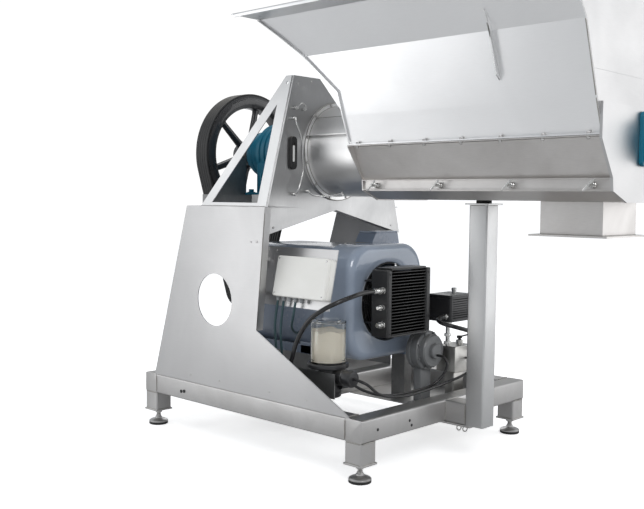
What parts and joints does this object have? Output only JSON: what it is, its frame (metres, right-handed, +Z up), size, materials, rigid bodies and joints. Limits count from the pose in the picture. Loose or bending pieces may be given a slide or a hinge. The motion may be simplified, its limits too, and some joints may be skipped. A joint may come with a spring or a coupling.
{
  "type": "hammer mill",
  "caption": "Belt driven hammer mill: feed hopper over a trough with a swinging hammer rotor, motor, oil cooler and lubrication on a welded frame on levelling feet.",
  "frame": {"origin": "floor level, centre of the bounding box, on the centre plane of the rotor shaft", "axes": "+Z up, +X along the rotor shaft from the belt pulley to the free end of the trough, +Y to the far side, away from the grease pump"},
  "size_m": [2.668, 1.74, 2.105],
  "materials": {
    "stainless": "brushed stainless sheet and tube",
    "bright_steel": "bright plated steel",
    "machined_steel": "machined steel",
    "hard_steel": "hardened wear steel",
    "dark_steel": "dark grey paint",
    "motor_paint": "grey blue gloss paint",
    "teal_paint": "teal blue gloss paint",
    "black_iron": "black painted cast iron",
    "black_paint": "black satin paint",
    "pump_paint": "grey paint",
    "rubber": "black rubber",
    "black_plastic": "black plastic",
    "clear_plastic": "clear plastic",
    "grease": "cream coloured grease",
    "ivory_plastic": "ivory plastic",
    "cable_grey": "grey cable sheath"
  },
  "bodies": {
    "frame": {"base_rails": "stainless", "base_crosses": "stainless", "legs": "stainless", "feet": "bright_steel", "foot_pads": "rubber", "post_arm": "stainless", "support_post": "stainless", "post_pad": "rubber", "side_panel_near": "stainless", "side_panel_far": "stainless", "tower_side_near": "stainless", "tower_side_far": "stainless", "front_plate": "stainless", "drive_shelf": "dark_steel", "bearing_housing": "teal_paint", "motor_rails": "dark_steel", "motor_body": "motor_paint", "motor_box": "motor_paint", "fan_cowl": "motor_paint", "shaft_tube": "stainless", "trough": "stainless", "bar_cage": "hard_steel", "end_plate": "stainless", "end_bearing": "teal_paint", "hopper": "stainless", "joint_bolts": "bright_steel", "bottom_pan": "stainless", "oil_gauge": "black_plastic", "lube_lines": "bright_steel", "cooler_core": "black_paint", "cooler_case": "black_paint", "hose_fittings": "bright_steel", "drip_tray": "stainless", "pump_housing": "pump_paint", "filter_box": "black_paint", "valve_block": "bright_steel", "cooler_hose": "rubber", "return_hose": "rubber", "grease_hoses": "rubber", "reservoir": "clear_plastic", "grease": "grease", "grease_pump": "black_plastic", "grease_bracket": "stainless", "junction_box": "ivory_plastic", "junction_plate": "stainless", "cables": "cable_grey", "drive_belt": "rubber"},
    "rotor": {"rotor_shaft": "machined_steel", "big_pulley": "black_iron", "rotor_discs": "hard_steel"},
    "hammer_row_1": {"hammers_1": "hard_steel"},
    "hammer_row_2": {"hammers_2": "hard_steel"},
    "hammer_row_3": {"hammers_3": "hard_steel"},
    "motor_rotor": {"motor_shaft": "machined_steel", "motor_fan": "black_plastic"},
    "clamp_a": {"clamp_1": "bright_steel"},
    "clamp_b": {"clamp_2": "bright_steel"},
    "clamp_c": {"clamp_3": "bright_steel"},
    "clamp_d": {"clamp_4": "bright_steel"},
    "oil_valve": {"valve_lever": "black_paint"}
  },
  "joints": [
    {"name": "rotor_spin", "type": "hinge", "parent": "frame", "child": "rotor", "pos_m": [0, 0, 1.515], "axis": [1, 0, 0], "continuous": true},
    {"name": "hammer_swing_1", "type": "hinge", "parent": "rotor", "child": "hammer_row_1", "pos_m": [0, 0, 1.385], "axis": [1, 0, 0], "range_deg": [-120, 120]},
    {"name": "hammer_swing_2", "type": "hinge", "parent": "rotor", "child": "hammer_row_2", "pos_m": [0, 0.11258, 1.58], "axis": [1, 0, 0], "range_deg": [-15, 240]},
    {"name": "hammer_swing_3", "type": "hinge", "parent": "rotor", "child": "hammer_row_3", "pos_m": [0, -0.11258, 1.58], "axis": [1, 0, 0], "range_deg": [-240, 15]},
    {"name": "motor_spin", "type": "hinge", "parent": "frame", "child": "motor_rotor", "pos_m": [0, 0, 0.735], "axis": [1, 0, 0], "continuous": true},
    {"name": "clamp_turn_a", "type": "hinge", "parent": "frame", "child": "clamp_a", "pos_m": [0.024, -0.31, 1.327], "axis": [0, 1, 0], "range_deg": [0, 90]},
    {"name": "clamp_turn_b", "type": "hinge", "parent": "frame", "child": "clamp_b", "pos_m": [0.394, -0.31, 1.327], "axis": [0, 1, 0], "range_deg": [0, 90]},
    {"name": "clamp_turn_c", "type": "hinge", "parent": "frame", "child": "clamp_c", "pos_m": [0.764, -0.31, 1.327], "axis": [0, 1, 0], "range_deg": [0, 90]},
    {"name": "clamp_turn_d", "type": "hinge", "parent": "frame", "child": "clamp_d", "pos_m": [1.134, -0.31, 1.327], "axis": [0, 1, 0], "range_deg": [0, 90]},
    {"name": "valve_turn", "type": "hinge", "parent": "frame", "child": "oil_valve", "pos_m": [0.02, 0.41, 0.5], "axis": [0, 0, 1], "range_deg": [0, 90]}
  ],
  "couplings": [
    {"joint": "motor_spin", "follows": "rotor_spin", "ratio": 2.8279}
  ]
}
